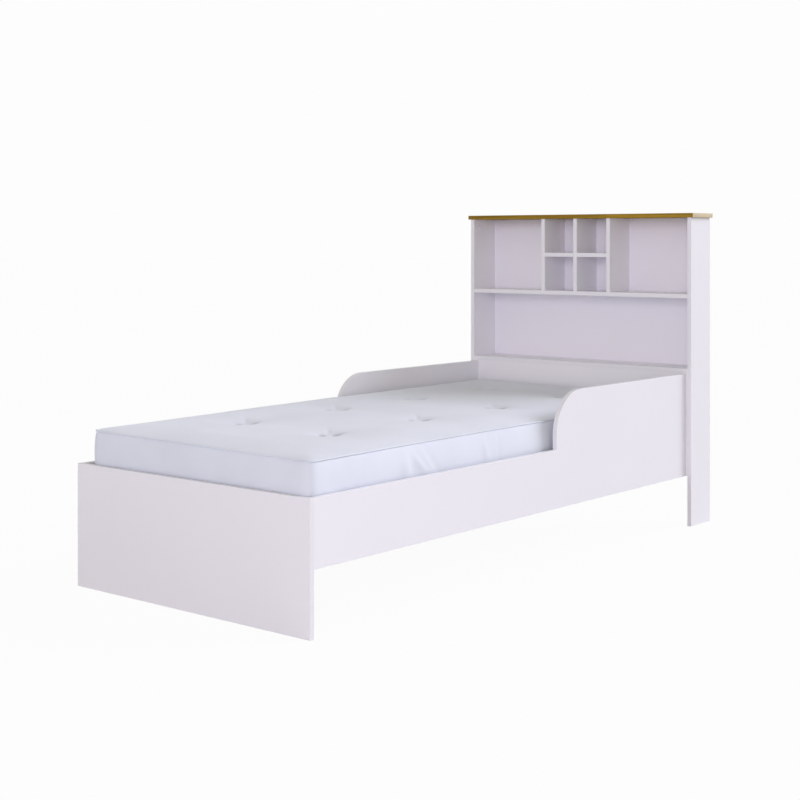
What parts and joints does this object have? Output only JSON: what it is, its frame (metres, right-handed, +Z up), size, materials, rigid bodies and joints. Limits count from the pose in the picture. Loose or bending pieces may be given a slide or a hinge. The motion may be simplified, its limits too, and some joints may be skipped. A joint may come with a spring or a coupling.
{
  "type": "bookcase headboard bed",
  "caption": "Single bed of white-faced board with a bookcase headboard, part-length guard rails, a slatted base and a tufted mattress.",
  "frame": {"origin": "on the floor, under the middle of the whole bed's outline", "axes": "+Z up, +Y from the foot panel to the headboard, +X to the sleeper's left"},
  "size_m": [0.978, 2.062, 1.095],
  "materials": {
    "white_board": "white melamine-faced particleboard with matching edge band",
    "white_hardboard": "3 mm hardboard, lacquered white in front and left bare behind",
    "top_wood": "wood-grain faced board, honey brown, satin",
    "slat_pine": "planed bare pine",
    "plated_steel": "zinc-plated steel",
    "die_cast_zinc": "die-cast zinc",
    "dowel_beech": "fluted beech",
    "cover_plastic": "white moulded caps",
    "mattress_cover": "white knitted ticking over foam"
  },
  "bodies": {
    "bed_frame": {"foot_panel": "white_board", "side_rail_left": "white_board", "side_rail_right": "white_board", "headboard_side_left": "white_board", "headboard_side_right": "white_board", "main_shelf": "white_board", "lower_shelf": "white_board", "head_panel": "white_board", "cubby_divider_left": "white_board", "cubby_divider_middle": "white_board", "cubby_divider_right": "white_board", "cubby_shelf": "white_board", "back_panel": "white_hardboard", "headboard_top": "top_wood", "slat_01": "slat_pine", "slat_02": "slat_pine", "slat_03": "slat_pine", "slat_04": "slat_pine", "slat_05": "slat_pine", "slat_06": "slat_pine", "slat_07": "slat_pine", "slat_08": "slat_pine", "slat_09": "slat_pine", "slat_10": "slat_pine", "slat_11": "slat_pine", "slat_12": "slat_pine", "slat_13": "slat_pine", "slat_cleat_left": "slat_pine", "slat_cleat_right": "slat_pine", "rail_cam_bolts": "plated_steel", "headboard_cam_bolts": "plated_steel", "cleat_screws": "plated_steel", "back_nails": "plated_steel", "slat_brads": "plated_steel", "rail_cam_locks": "die_cast_zinc", "headboard_cam_locks": "die_cast_zinc", "rail_dowels": "dowel_beech", "headboard_dowels": "dowel_beech", "cubby_dowels": "dowel_beech", "cam_covers": "cover_plastic"},
    "mattress": {"mattress": "mattress_cover"}
  },
  "joints": [
    {"name": "mattress_lift", "type": "slide", "parent": "bed_frame", "child": "mattress", "axis": [0, 0, 1], "range_m": [0, 0.3]}
  ]
}
